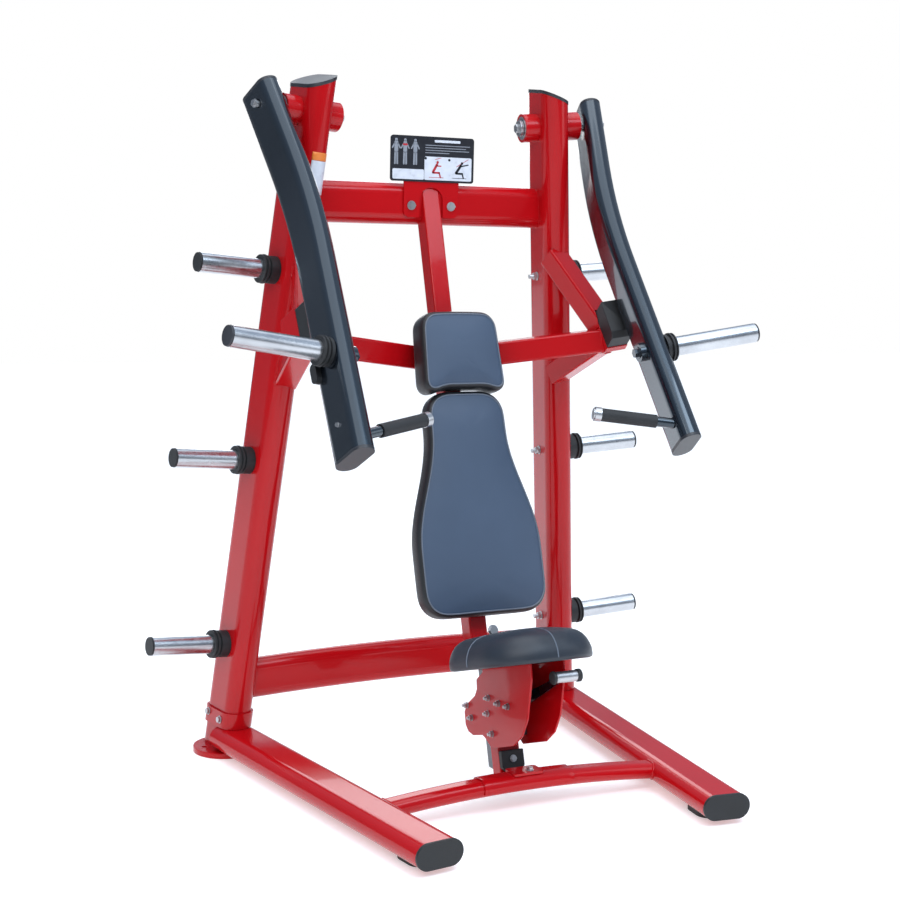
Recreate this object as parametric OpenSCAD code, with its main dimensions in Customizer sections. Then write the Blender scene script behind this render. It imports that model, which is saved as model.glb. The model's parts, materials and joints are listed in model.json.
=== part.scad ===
// Plate-loaded chest press machine: welded tube frame, two lever arms on high pivots,
// reclined back pad, and a seat that slides on an inclined post.
// X points to the right as seen from the front, Y points backwards, Z points up.

/* [Overall] */
// Distance between the two base legs at their front ends, centre to centre
leg_spread = 764; // [700:4:820]
// Horizontal run from the front of a leg to the foot of its upright
leg_run = 1021; // [960:4:1060]
// Distance from the front of a leg to the origin, which is mid-depth
origin_y = 542.1; // [480:0.1:600]

/* [Base] */
// Width of the flat oval leg tube
leg_w = 120; // [100:2:130]
// Height of the flat oval leg tube
leg_h = 60; // [50:2:70]
// Height of the leg's underside above the floor
leg_clear = 15; // [10:1:25]
// Wall thickness of the frame tubes
wall = 3; // [2:0.5:4]
// Thickness of the end caps' visible flange
cap_t = 8; // [4:1:12]
// Diameter of the round rear foot plate
rear_foot_d = 170; // [130:2:180]

/* [Uprights] */
// Fore-and-aft width of the upright tube
upright_w = 152; // [130:2:170]
// Side-to-side thickness of the upright tube
upright_t = 76; // [60:2:90]
// Toe angle of the legs and uprights, seen from above
toe = 7.37; // [5:0.01:10]
// Inward lean of the uprights
lean_in = 4.91; // [3:0.01:7]
// Forward lean of the uprights
lean_fwd = 5.7; // [3:0.1:8]
// Length of an upright along its own axis
upright_len = 1778; // [1700:2:1840]

/* [Crossbeams] */
// Height of the upper crossbeam's centre above the floor
upper_beam_z = 1461; // [1400:1:1500]
// Height of the lower rear crossbeam's centre above the floor
rear_beam_z = 198; // [170:1:260]
// Width of the wide side of both rear crossbeams
beam_w = 108; // [90:2:120]
// Thickness of both rear crossbeams
beam_t = 56; // [50:2:64]
// Distance from the front of a leg to the front crossbeam
front_beam_y = 301; // [280:1:360]
// Rise of the front crossbeam's arch
front_arch = 22; // [10:1:40]
// Rise of the lower rear crossbeam's arch
rear_arch = 12; // [6:1:30]

/* [Arms] */
// Height of the arm pivots along the uprights
pivot_s = 1694; // [1650:1:1730]
// Distance from an upright's mid-plane to its arm's centre at the pivot
arm_out = 121.5; // [110:0.5:126]
// Width of the flat oval arm tube
arm_w = 120; // [100:2:130]
// Thickness of the flat oval arm tube
arm_t = 56; // [50:2:64]
// Angle of an arm forward of its upright at rest
arm_angle = 38.6; // [34:0.1:44]
// Inward lean of the arm's upper part
arm_lean = 8.5; // [3:0.1:10]
// Angle of the arm's sideways bend
arm_bend = 11; // [5:0.1:12]
// Radius of the arm's sideways bend
arm_bend_r = 1542; // [1400:1:2800]
// Turn of the arm's section about its own length
arm_roll = -4; // [-8:0.5:0]
// Length of the arm above its pivot
arm_over = 42; // [40:1:90]
// Straight length between the pivot and the bend
arm_upper = 164; // [150:1:260]
// Straight length below the bend
arm_lower = 516; // [480:1:540]

/* [Plate horns] */
// Outer diameter of the horns, which take 50 mm plates
horn_d = 50; // [48:0.5:50]
// Usable length of a storage horn beyond its collar
store_len = 168; // [150:1:220]
// Usable length of an arm horn beyond its collar
load_len = 232; // [200:1:260]
// Diameter of the rubber collars
collar_d = 75; // [70:1:90]
// Thickness of a storage horn's collar
store_collar = 45; // [25:1:50]
// Thickness of an arm horn's collar
load_collar = 28; // [20:1:40]
// Heights of the storage horns along the upright
store_low_s = 296; // [280:1:320]
// Spacing of the storage horns along the upright
store_pitch = 497; // [470:1:505]

/* [Back] */
// Recline of the back pad, head pad, back post and seat post
recline = 16.5; // [12:0.5:20]
// Length of the back pad
back_len = 578; // [540:2:600]
// Widest width of the back pad
back_w = 356; // [340:2:390]
// Width of the back pad near its top
back_top_w = 226; // [200:2:260]
// Thickness of the back pad and head pad with their boards
pad_t = 66; // [50:1:70]
// Size of the square back post
post_w = 50; // [40:2:60]

/* [Seat] */
// Widest width of the seat pad, near its back
seat_w = 340; // [320:2:370]
// Depth of the seat pad
seat_d = 288; // [270:2:300]
// Thickness of the seat pad with its board
seat_t = 78; // [70:1:90]
// Travel of the seat along its post
seat_travel = 120; // [80:5:130]
// Width of the seat post
seat_post_w = 60; // [50:2:60]

/* [Hidden] */
$fn = 64;

gap = 0.2;
lap = 1;
front_h = 40;
front_d = 60;
front_z = 66;
upper_beam_y = 908;
board_t = 20;
leg_x = leg_spread / 2;
foot_x = leg_x + leg_run * tan(toe);
leg_z = leg_clear + leg_h / 2;
store_y = 2;
steel_black = [0.07, 0.07, 0.08];
frame_red = [0.72, 0.05, 0.07];
rubber_black = [0.05, 0.05, 0.06];
leather = [0.16, 0.18, 0.21];
chrome = [0.75, 0.76, 0.78];

// ---------- shared shapes ----------

// Moves the machine so that its origin is at mid-depth on the floor
module machine() {
    translate([0, -origin_y, 0])
        children();
}

// The right side, and its mirror image on the left
module both_sides() {
    children();
    mirror([1, 0, 0])
        children();
}

module side(left) {
    mirror([left ? 1 : 0, 0, 0])
        children();
}

// Flat oval outline, w along X and h along Y, w > h
module oval(w, h) {
    square([w - h, h], center = true);
    for (s = [-1, 1])
        translate([s * (w - h) / 2, 0])
            circle(d = h);
}

module rounded(w, h, r) {
    square([w, h - 2 * r], center = true);
    square([w - 2 * r, h], center = true);
    for (sx = [-1, 1], sy = [-1, 1])
        translate([sx * (w / 2 - r), sy * (h / 2 - r)])
            circle(r = r);
}

module oval_ring(w, h, t) {
    difference() {
        oval(w, h);
        oval(w - 2 * t, h - 2 * t);
    }
}

// Straight bar of any outline from point a to point b; the outline's X is its upright side
module bar_between(a, b) {
    d = b - a;
    translate(a)
        rotate([0, acos(d[2] / norm(d)), atan2(d[1], d[0])])
            linear_extrude(norm(d))
                children();
}

// Flat oval crossbeam along X with a shallow arch; solid = true leaves it unhollowed
module arched_beam(half_span, rise, upright_side, depth, t) {
    r = (half_span * half_span + rise * rise) / (2 * rise);
    half_angle = asin(half_span / r);
    translate([0, 0, -r])
        rotate([90, 0, 0])
            rotate([0, 0, 90 - half_angle])
                rotate_extrude(angle = 2 * half_angle, $fn = 200)
                    translate([r, 0])
                        difference() {
                            beam_outline(upright_side, depth);
                            beam_outline(upright_side - 2 * t, depth - 2 * t);
                        }
}

module beam_outline(v, d) {
    if (v > d)
        oval(v, d);
    else
        rotate(90)
            oval(d, v);
}

// Hex-headed bolt along +Z from the origin, head upwards
module hex_bolt(d, head) {
    cylinder(d = d * 2, h = 1.5);
    translate([0, 0, 1.5])
        cylinder(d = d * 1.7, h = head, $fn = 6);
}

// Nut on a stud that stands out along +Z from the origin
module stud_bolt(d, len) {
    cylinder(d = d * 2, h = 2);
    translate([0, 0, 2])
        cylinder(d = d * 1.75, h = d * 0.8, $fn = 6);
    translate([0, 0, 2 + d * 0.8])
        cylinder(d = d, h = len - d * 0.8);
}

// ---------- frames of reference, right side ----------

// X outwards, Y rearwards and Z up along the right upright
module upright_frame() {
    translate([foot_x, leg_run, 0])
        rotate([lean_fwd, -lean_in, -toe])
            children();
}

// At the pivot, Z back up along the arm and Y to the arm's rear
module arm_frame() {
    upright_frame()
        translate([0, 0, pivot_s])
            rotate([-arm_angle, 0, 0])
                children();
}

// At the arm's centre on the pivot axis, Z along the arm's upper part
module arm_upper_frame() {
    arm_frame()
        translate([arm_out, 4, 0])
            rotate([0, arm_lean, 0])
                rotate([0, 0, arm_roll])
                    children();
}

// At the lower end of the bend, Z back up along the arm's lower part
module arm_lower_frame() {
    arm_upper_frame()
        translate([arm_bend_r, 0, -arm_upper])
            rotate([0, -arm_bend, 0])
                translate([-arm_bend_r, 0, 0])
                    children();
}

// At the lower front edge of the back pad, Z up the recline
module back_frame() {
    translate([0, 494, 429])
        rotate([-recline, 0, 0])
            children();
}

// At the front face of the seat post's foot, Z up the post
module seat_frame() {
    translate([0, 372, 100])
        rotate([-recline, 0, 0])
            children();
}

// ---------- base ----------

module leg_solid(grow) {
    translate([leg_x, 0, leg_z])
        rotate([0, 0, -toe])
            rotate([-90, 0, 0])
                linear_extrude(leg_run / cos(toe) - 30)
                    oval(leg_w + 2 * grow, leg_h + 2 * grow);
}

module upright_solid(grow) {
    intersection() {
        upright_frame()
            translate([0, 0, -40])
                linear_extrude(upright_len + 60)
                    rotate(90)
                        oval(upright_w + 2 * grow, upright_t + 2 * grow);
        translate([-900, 0, leg_clear - grow])
            cube([1800, 1400, 2000]);
    }
}

module leg(left) {
    color(frame_red)
        machine()
            side(left)
                difference() {
                    leg_solid(0);
                    translate([leg_x, -1, leg_z])
                        rotate([0, 0, -toe])
                            rotate([-90, 0, 0])
                                linear_extrude(leg_run / cos(toe) - 30)
                                    oval(leg_w - 2 * wall, leg_h - 2 * wall);
                    upright_solid(gap);
                }
}

module leg_caps() {
    color(rubber_black)
        machine()
            both_sides()
                translate([leg_x, 0, leg_z])
                    rotate([0, 0, -toe])
                        rotate([90, 0, 0]) {
                            linear_extrude(cap_t)
                                oval(leg_w + 2, leg_h + 2);
                            translate([0, 0, -22])
                                linear_extrude(22)
                                    oval(leg_w - 2 * wall - 0.4, leg_h - 2 * wall - 0.4);
                        }
}

module front_feet() {
    color(rubber_black)
        machine()
            both_sides()
                translate([leg_x + 8, 95, 0])
                    rotate([0, 0, 90 - toe])
                        linear_extrude(leg_clear - 0.1)
                            oval(100, 64);
}

module rear_feet() {
    color(frame_red)
        machine()
            both_sides()
                difference() {
                    translate([foot_x, leg_run - 6, 0])
                        cylinder(d = rear_foot_d, h = leg_clear - gap);
                    translate([foot_x + 58, leg_run - 6, -1])
                        cylinder(d = 13, h = leg_clear + 2);
                }
}

// ---------- uprights ----------

module upright(left) {
    top_cut = 24;
    color(frame_red)
        machine()
            side(left)
                difference() {
                    upright_solid(0);
                    upright_frame()
                        translate([0, 0, -50])
                            linear_extrude(upright_len + 100)
                                rotate(90)
                                    oval(upright_w - 2 * wall, upright_t - 2 * wall);
                    upright_frame()
                        translate([0, 0, upright_len])
                            rotate([0, top_cut, 0])
                                translate([-200, -200, -cap_t])
                                    cube([400, 400, 200]);
                    upright_frame()
                        translate([-60, 0, pivot_s])
                            rotate([0, 90, 0])
                                cylinder(d = 76 + 2 * gap, h = 120);
                }
}

module upright_caps() {
    top_cut = 24;
    color(steel_black)
        machine()
            both_sides()
                intersection() {
                    upright_frame()
                        translate([0, 0, upright_len])
                            rotate([0, top_cut, 0])
                                translate([-200, -200, gap - cap_t])
                                    cube([400, 400, cap_t]);
                    upright_frame()
                        translate([0, 0, upright_len - 100])
                            linear_extrude(200)
                                rotate(90)
                                    oval(upright_w + 2, upright_t + 2);
                }
}

// Short sleeve that ties the leg's top to the upright's foot
module foot_sockets() {
    color(frame_red)
        machine()
            both_sides()
                difference() {
                    intersection() {
                        upright_frame()
                            translate([0, 0, 40])
                                linear_extrude(140)
                                    rotate(90)
                                        oval(upright_w + 12, upright_t + 12);
                        translate([0, 600, leg_clear + leg_h + 1])
                            cube([900, 600, 42]);
                    }
                    upright_solid(gap);
                }
}

// ---------- crossbeams ----------

module front_crossbeam() {
    color(frame_red)
        machine()
            difference() {
                translate([0, front_beam_y, front_z])
                    arched_beam(leg_x + 10, front_arch, front_h, front_d, wall);
                both_sides()
                    leg_solid(gap);
            }
}

module rear_crossbeam() {
    color(frame_red)
        machine()
            difference() {
                translate([0, 985, rear_beam_z + rear_arch])
                    arched_beam(470, rear_arch, beam_w, beam_t, wall);
                both_sides()
                    upright_solid(gap);
            }
}

module upper_crossbeam() {
    color(frame_red)
        machine()
            difference() {
                translate([-380, upper_beam_y, upper_beam_z])
                    rotate([0, 90, 0])
                        linear_extrude(760)
                            oval_ring(beam_w, beam_t, wall);
                both_sides()
                    upright_solid(gap);
            }
}

// ---------- back post, bracket and placard ----------

module back_post() {
    post_len = 1200;
    color(frame_red)
        machine()
            difference() {
                back_frame()
                    translate([0, pad_t + post_w / 2 + 0.5, -60])
                        linear_extrude(post_len)
                            difference() {
                                rounded(post_w, post_w, 5);
                                rounded(post_w - 2 * wall, post_w - 2 * wall, 3);
                            }
                translate([-380, upper_beam_y, upper_beam_z])
                    rotate([0, 90, 0])
                        linear_extrude(760)
                            oval(beam_w + 2 * gap, beam_t + 2 * gap);
            }
}

// Closed box between the top of the seat post and the foot of the back post
module post_bracket() {
    color(frame_red)
        machine()
            back_frame()
                translate([-seat_post_w / 2, 18.7, -64 - 38])
                    cube([seat_post_w, 94, 38]);
}

module placard_bracket() {
    face = upper_beam_y - beam_t / 2;
    color(frame_red)
        machine()
            translate([0, face - gap, 0])
                rotate([90, 0, 0])
                    linear_extrude(5)
                        difference() {
                            translate([0, upper_beam_z + 60])
                                rounded(160, 190, 16);
                            translate([-34, upper_beam_z - 60])
                                square([68, 70]);
                            translate([0, upper_beam_z + 10])
                                circle(r = 34);
                        }
}

module placard() {
    face = upper_beam_y - beam_t / 2;
    color("whitesmoke")
        machine()
            translate([0, face - 5.6, upper_beam_z + 117])
                rotate([90, 0, 0])
                    linear_extrude(3)
                        rounded(244, 118, 8);
}

// ---------- arm stop frame ----------

elbow_x = 70;
bumper_x = -30;
bumper_back = arm_w / 2 + 62;

module beam_bar() {
    bar_between([-40, 843, 1046], [424, 683, 1112])
        children();
}

module upper_strut_bar() {
    upright_frame()
        bar_between([elbow_x - 12, -226, 1172], [-12, -50, 1350])
            children();
}

// Space kept clear for the elbow and for the bumper in front of it
module elbow_cut() {
    arm_lower_frame()
        translate([bumper_x, 0, 0])
            rotate([90, 0, 90])
                translate([0, 0, -30 - gap])
                    linear_extrude(60 + 2 * gap)
                        polygon([
                            [arm_w / 2 - 60, -48 + gap],
                            [arm_w / 2 - 60, -162 - gap],
                            [bumper_back + 22 + gap, -162 - gap],
                            [bumper_back + 74 + gap, -138 - gap],
                            [bumper_back + 74 + gap, -88 + gap],
                            [bumper_back + 64 + gap, -48 + gap]
                        ]);
}

module stop_beams() {
    color(frame_red)
        machine()
            both_sides()
                difference() {
                    beam_bar()
                        difference() {
                            rounded(60, 60, 6);
                            rounded(60 - 2 * wall, 60 - 2 * wall, 3);
                        }
                    translate([-200, 600, 900])
                        cube([200, 500, 400]);
                    elbow_cut();
                    back_frame()
                        translate([-60, 0, 0])
                            cube([120, pad_t + post_w + 1, 1200]);
                }
}

module upper_struts() {
    color(frame_red)
        machine()
            both_sides()
                difference() {
                    upper_strut_bar()
                        strut_outline();
                    upright_solid(gap);
                    elbow_cut();
                    beam_bar()
                        rounded(60 + 2 * gap, 60 + 2 * gap, 6);
                }
}

module lower_struts() {
    color(frame_red)
        machine()
            both_sides()
                difference() {
                    upright_frame()
                        bar_between([elbow_x - 12, -232, 1140], [-6, -50, 1022])
                            strut_outline();
                    upright_solid(gap);
                    elbow_cut();
                    beam_bar()
                        rounded(60 + 2 * gap, 60 + 2 * gap, 6);
                    upper_strut_bar()
                        rounded(58 + 2 * gap, 58 + 2 * gap, 6);
                }
}

module strut_outline() {
    difference() {
        rounded(58, 58, 6);
        rounded(58 - 2 * wall, 58 - 2 * wall, 3);
    }
}

// Wedge that carries the bumper; its front face is parallel to the arm at rest
module elbow_solid(grow) {
    arm_lower_frame()
        translate([bumper_x, 0, 0])
            rotate([90, 0, 90])
                translate([0, 0, -30 - grow])
                    linear_extrude(60 + 2 * grow)
                        offset_wedge(grow);
}

module offset_wedge(grow) {
    polygon([
        [bumper_back + gap - grow, -48 + grow],
        [bumper_back + gap - grow, -162 - grow],
        [bumper_back + 22 + grow, -162 - grow],
        [bumper_back + 74 + grow, -138 - grow],
        [bumper_back + 74 + grow, -88 + grow],
        [bumper_back + 64 + grow, -48 + grow]
    ]);
}

module stop_elbows() {
    color(frame_red)
        machine()
            both_sides()
                elbow_solid(0);
}

module bumpers() {
    color(rubber_black)
        machine()
            both_sides()
                arm_lower_frame()
                    translate([bumper_x, 0, 0])
                        rotate([90, 0, 90])
                            translate([0, 0, -29])
                                linear_extrude(58)
                                    polygon([
                                        [arm_w / 2 + 0.3, -54],
                                        [arm_w / 2 + 0.3, -146],
                                        [arm_w / 2 + 14, -160],
                                        [bumper_back, -160],
                                        [bumper_back, -54]
                                    ]);
}

// ---------- pivots ----------

module pivot_housings() {
    color(frame_red)
        machine()
            both_sides()
                upright_frame()
                    translate([-79, 0, pivot_s])
                        rotate([0, 90, 0])
                            difference() {
                                cylinder(d = 76, h = 160);
                                translate([0, 0, -1])
                                    cylinder(d = 50, h = 162);
                                translate([0, 0, -1])
                                    cylinder(d = 62, h = 17);
                                translate([0, 0, 144])
                                    cylinder(d = 62, h = 17);
                            }
}

module pivot_bearings() {
    color(chrome)
        machine()
            both_sides()
                upright_frame()
                    translate([-79, 0, pivot_s])
                        rotate([0, 90, 0])
                            for (z = [0.1, 144])
                                translate([0, 0, z])
                                    difference() {
                                        cylinder(d = 61.96, h = 15.8);
                                        translate([0, 0, -1])
                                            cylinder(d = 30.1, h = 18);
                                    }
}

module arm_shaft(left) {
    color(chrome)
        machine()
            side(left)
                upright_frame()
                    translate([0, 0, pivot_s])
                        rotate([0, 90, 0]) {
                            translate([0, 0, -84])
                                cylinder(d = 30, h = 84 + arm_out);
                            translate([0, 0, arm_out - 1])
                                cylinder(d = 18, h = 34);
                            translate([0, 0, -88])
                                cylinder(d = 44, h = 8);
                            translate([0, 0, -97])
                                cylinder(d = 24, h = 9, $fn = 6);
                            translate([0, 0, arm_out + 32.9])
                                cylinder(d = 23, h = 2);
                            translate([0, 0, arm_out + 34.9])
                                cylinder(d = 17, h = 6, $fn = 6);
                        }
}

// ---------- storage horns ----------

// Plate horn whose root, under its collar, is turned down by 1 mm in radius
module horn(root, len) {
    difference() {
        union() {
            cylinder(d = horn_d - 2, h = root + 1);
            translate([0, 0, root])
                cylinder(d = horn_d, h = len);
        }
        translate([0, 0, -1])
            cylinder(d = horn_d - 7, h = root + len + 2);
    }
}

module horn_cap() {
    translate([0, 0, gap])
        cylinder(d = horn_d - 2, h = 5);
    translate([0, 0, -16])
        cylinder(d = horn_d - 7.4, h = 16 + gap);
}

module ribbed_collar(t) {
    rib = 3;
    r = collar_d / 2;
    bore = horn_d / 2 - 0.9;
    rotate_extrude()
        polygon([
            [bore, 0],
            [r - 2, 0],
            [r - 2, t - 20],
            [r - 6, t - 18],
            [r - 6, t - 18 + rib],
            [r, t - 13],
            [r, t - 9],
            [r - 4, t - 7],
            [r - 4, t - 5],
            [r - 1, t - 4],
            [r - 1, t - 1.5],
            [r - 2.5, t - gap],
            [bore, t - gap]
        ]);
}

module at_storage_horns() {
    both_sides()
        for (i = [0 : 2])
            upright_frame()
                translate([upright_t / 2 + gap, store_y, store_low_s + i * store_pitch])
                    rotate([0, 90, 0])
                        children();
}

module storage_horns() {
    color(chrome)
        machine()
            at_storage_horns()
                horn(store_collar, store_len);
}

module storage_collars() {
    color(rubber_black)
        machine()
            at_storage_horns()
                ribbed_collar(store_collar);
}

module storage_horn_caps() {
    color(rubber_black)
        machine()
            at_storage_horns()
                translate([0, 0, store_collar + store_len])
                    horn_cap();
}

// ---------- frame fasteners ----------

module frame_bolts() {
    color(chrome)
        machine() {
            both_sides() {
                for (i = [0 : 2])
                    upright_frame()
                        translate([-upright_t / 2 - gap, store_y, store_low_s + i * store_pitch])
                            rotate([0, -90, 0])
                                stud_bolt(12, 22);
                upright_frame()
                    for (y = [-34, 34])
                        translate([upright_t / 2 + 6 + gap, y, 98])
                            rotate([0, 90, 0])
                                hex_bolt(10, 6);
                translate([58, upper_beam_y - beam_t / 2 - 5.6, upper_beam_z - 4])
                    rotate([90, 0, 0])
                        hex_bolt(12, 7);
            }
            translate([10, 292, 94.2])
                hex_bolt(10, 6);
            seat_frame()
                translate([-8, -0.2, 318])
                    rotate([90, 0, 0])
                        hex_bolt(14, 5);
            seat_frame()
                translate([0, -16.4, 1])
                    rotate([90, 0, 0])
                        hex_bolt(9, 5);
        }
}

// ---------- pads ----------

function corner(v, len, r) = min(v, len - v) >= r ? 0 : r - sqrt(r * r - pow(r - min(v, len - v), 2));
function blend(t) = t <= 0 ? 0 : t >= 1 ? 1 : t * t * (3 - 2 * t);
function back_half(v) = (back_top_w + (back_w - back_top_w) * blend((470 - v) / 290)) / 2;

// Closed outline of a pad whose half width at height v is half(v), with corners of radius r
function pad_side(len, r, steps) = [for (i = [0 : steps]) (1 - cos(180 * i / steps)) / 2 * len];

module back_pad() {
    steps = 26;
    r = 62;
    v = pad_side(back_len, r, steps);
    right = [for (h = v) [back_half(h) - corner(h, back_len, r), h]];
    left = [for (i = [steps : -1 : 0]) [-right[i][0], right[i][1]]];
    color(leather)
        machine()
            back_frame()
                rotate([90, 0, 0])
                    translate([0, 6, board_t - pad_t])
                        linear_extrude(pad_t - board_t)
                            polygon(concat(right, left));
}

// Lower edge of the head pad, arched over the top of the back pad
function head_low(x) = 587 - 10 * blend((x - 51) / 41);

module head_pad() {
    low = [for (x = [0 : 5 : 90]) [x, head_low(x)]];
    heel = [for (a = [-90 : 10 : 0]) [92 + 26 * cos(a), 605 + 28 * sin(a)]];
    shoulder = [for (a = [4 : 8 : 84]) [65 + 46 * cos(a), 744 + 46 * sin(a)]];
    right = concat(low, heel, shoulder, [[40, 790.5], [0, 791]]);
    last = len(right) - 2;
    left = [for (i = [last : -1 : 1]) [-right[i][0], right[i][1]]];
    color(leather)
        machine()
            back_frame()
                translate([0, pad_t - board_t, 0])
                    rotate([90, 0, 0])
                        linear_extrude(pad_t - board_t + 16)
                            polygon(concat(right, left));
}

// Boards that the pads are bonded to, screwed to the back post
module pad_boards() {
    color(steel_black)
        machine()
            back_frame()
                rotate([90, 0, 0])
                    translate([0, 0, -pad_t]) {
                        translate([0, back_len / 2 + 10])
                            linear_extrude(board_t - gap)
                                rounded(150, back_len - 90, 20);
                        translate([0, back_len + 18 + 99])
                            linear_extrude(board_t - gap)
                                rounded(150, 140, 20);
                    }
}

// ---------- seat ----------

seat_rise = 226;
seat_post_top = 247.6;
plate_in = 42;
plate_t = 5;
seat_back = -8;
lever_pivot = [-62, 139];
lever_grip = [-262, 187.5];

module seat_post() {
    color(frame_red)
        machine()
            difference() {
                seat_frame()
                    translate([0, 21, -60])
                        linear_extrude(seat_post_top + 60)
                            difference() {
                                rounded(seat_post_w, 42, 4);
                                rounded(seat_post_w - 2 * wall, 42 - 2 * wall, 2);
                            }
                translate([-100, 200, 0])
                    cube([200, 400, 50]);
            }
}

module seat_rail() {
    color(steel_black)
        machine()
            difference() {
                seat_frame()
                    translate([-seat_post_w / 2 + 3, 42 + gap, -40])
                        cube([seat_post_w - 6, 24 - 2 * gap, seat_post_top + 40]);
                translate([-100, 200, 0])
                    cube([200, 400, 66]);
            }
}

// Sheet folded over the middle of the front crossbeam, with a clamp plate on it
// and a web behind it that holds the seat post's foot
module seat_saddle() {
    color(frame_red)
        machine() {
            intersection() {
                difference() {
                    translate([0, front_beam_y, front_z])
                        arched_beam(leg_x, front_arch, front_h + 8, front_d + 8, 4 - gap);
                    translate([-200, 200, 0])
                        cube([400, 200, 54]);
                }
                translate([-124, 200, 0])
                    cube([248, 200, 200]);
            }
            translate([0, 300, 88])
                linear_extrude(6)
                    rounded(84, 50, 8);
            difference() {
                translate([-28, 333, 56.5])
                    cube([56, 40, 10]);
                seat_frame()
                    translate([-60, -gap, -100])
                        cube([120, 120, 300]);
            }
        }
}

module seat_stop() {
    color(rubber_black)
        machine()
            seat_frame()
                translate([0, -gap, 0])
                    rotate([90, 0, 0])
                        linear_extrude(16)
                            polygon([[-31, 22], [31, 22], [31, -19], [17, -33], [-17, -33], [-31, -19]]);
}

// Two side plates hung under the seat
module seat_carriage() {
    color(frame_red)
        machine()
            seat_frame()
                both_sides()
                    translate([plate_in, 0, 0])
                        rotate([90, 0, 90])
                            linear_extrude(plate_t)
                                polygon([
                                    [-240, seat_rise - gap],
                                    [-236, 190],
                                    [-196, 98],
                                    [-160, 58],
                                    [-112, 36],
                                    [2, 31],
                                    [30, 56],
                                    [44, 64],
                                    [94, 64],
                                    [118, 74],
                                    [130, 92],
                                    [128, 124],
                                    [112, 142],
                                    [62, 162],
                                    [48, 178],
                                    [44, seat_rise - 24],
                                    [-10, seat_rise - gap]
                                ]);
}

module seat_guides() {
    color(steel_black)
        machine()
            seat_frame()
                for (i = [0, 1]) {
                    translate([gap - plate_in, -26, 54 + 88 * i])
                        cube([2 * (plate_in - gap), 25.6, 24]);
                    translate([gap - plate_in, 66.4, 66 + 36 * i])
                        cube([2 * (plate_in - gap), 24, 22]);
                }
}

module seat_bolts() {
    color(chrome) {
        machine()
            seat_frame()
                both_sides()
                    for (p = [[-12, 66], [-12, 154], [90, 108], [1, 116], [-108, 130], [108, 140], lever_pivot])
                        translate([plate_in + plate_t + gap, p[0], p[1]])
                            rotate([0, 90, 0])
                                stud_bolt(8, 12);
        machine()
            seat_frame()
                translate([gap - plate_in, lever_pivot[0], lever_pivot[1]])
                    rotate([0, 90, 0])
                        cylinder(d = 12, h = 2 * (plate_in - gap));
    }
}

module seat_pad() {
    steps = 24;
    v = pad_side(seat_d, 60, steps);
    right = [for (d = v) [seat_half(d), seat_back - d]];
    left = [for (i = [steps : -1 : 0]) [-right[i][0], right[i][1]]];
    color(leather)
        machine()
            seat_frame()
                translate([0, 0, seat_rise])
                    linear_extrude(seat_t)
                        polygon(concat(right, left));
}

// Half width of the seat pad at distance d from its back edge
function seat_half(d) =
    seat_w / 2 * (1 - 0.2 * d / seat_d) - corner(min(d, seat_d / 2), seat_d, 56)
    - (d > seat_d - 110 ? 110 - sqrt(110 * 110 - pow(d - seat_d + 110, 2)) : 0);

// Outline of the release lever's plate, in the plane of Y and Z
module lever_outline(grow) {
    hull() {
        translate(lever_pivot)
            circle(d = 30 + 2 * grow);
        translate(lever_grip)
            circle(d = 14 + 2 * grow);
    }
}

// Lever between the carriage plates: its nose holds the post, its rod carries the grip
module seat_lever() {
    color(steel_black)
        machine()
            seat_frame() {
                translate([24, 0, 0])
                    rotate([90, 0, 90])
                        difference() {
                            linear_extrude(6)
                                union() {
                                    lever_outline(0);
                                    hull() {
                                        translate(lever_pivot)
                                            circle(d = 28);
                                        translate([-8.6, 112])
                                            circle(d = 16);
                                    }
                                }
                            translate([lever_pivot[0], lever_pivot[1], -1])
                                cylinder(d = 12.1, h = 10);
                        }
                translate([-2, lever_grip[0], lever_grip[1]])
                    rotate([0, 90, 0])
                        cylinder(d = 12, h = 70);
            }
}

// Knurled sleeve on the release lever's rod, with a flange at each end
module seat_lever_grip() {
    color(rubber_black)
        machine()
            seat_frame()
                difference() {
                    translate([-5, lever_grip[0], lever_grip[1]])
                        rotate([0, 90, 0]) {
                            cylinder(d = 27, h = 76);
                            cylinder(d = 31, h = 7);
                            translate([0, 0, 66])
                                cylinder(d = 31, h = 10);
                        }
                    translate([-2.2, lever_grip[0], lever_grip[1]])
                        rotate([0, 90, 0])
                            cylinder(d = 12.2, h = 70.4);
                    translate([23.7, 0, 0])
                        rotate([90, 0, 90])
                            linear_extrude(6.6)
                                lever_outline(gap);
                }
}

// ---------- arms, right side ----------

// One arm's outline along its bent length; w and t are the section's sides, wall_in its wall or 0
module arm_tube(w, t, wall_in) {
    arm_upper_frame()
        translate([0, 0, -arm_upper - lap])
            linear_extrude(arm_upper + lap + arm_over)
                rotate(90)
                    arm_section(w, t, wall_in);
    arm_upper_frame()
        translate([arm_bend_r, 0, -arm_upper])
            rotate([90, 0, 0])
                rotate([0, 0, 180])
                    rotate_extrude(angle = arm_bend, $fn = 240)
                        translate([arm_bend_r, 0])
                            rotate(90)
                                arm_section(w + 0.1, t + 0.1, wall_in + (wall_in > 0 ? 0.1 : 0));
    arm_lower_frame()
        translate([0, 0, -arm_lower])
            linear_extrude(arm_lower + lap)
                rotate(90)
                    arm_section(w, t, wall_in);
}

module arm_section(w, t, wall_in) {
    if (wall_in > 0)
        oval_ring(w, t, wall_in);
    else
        oval(w, t);
}

module arm(left) {
    color(steel_black)
        machine()
            side(left)
                difference() {
                    arm_tube(arm_w, arm_t, wall);
                    upright_frame()
                        translate([0, 0, pivot_s])
                            rotate([0, 90, 0]) {
                                cylinder(d = 30 + 2 * gap, h = arm_out + gap);
                                cylinder(d = 18 + 2 * gap, h = 200);
                            }
                }
}

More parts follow.
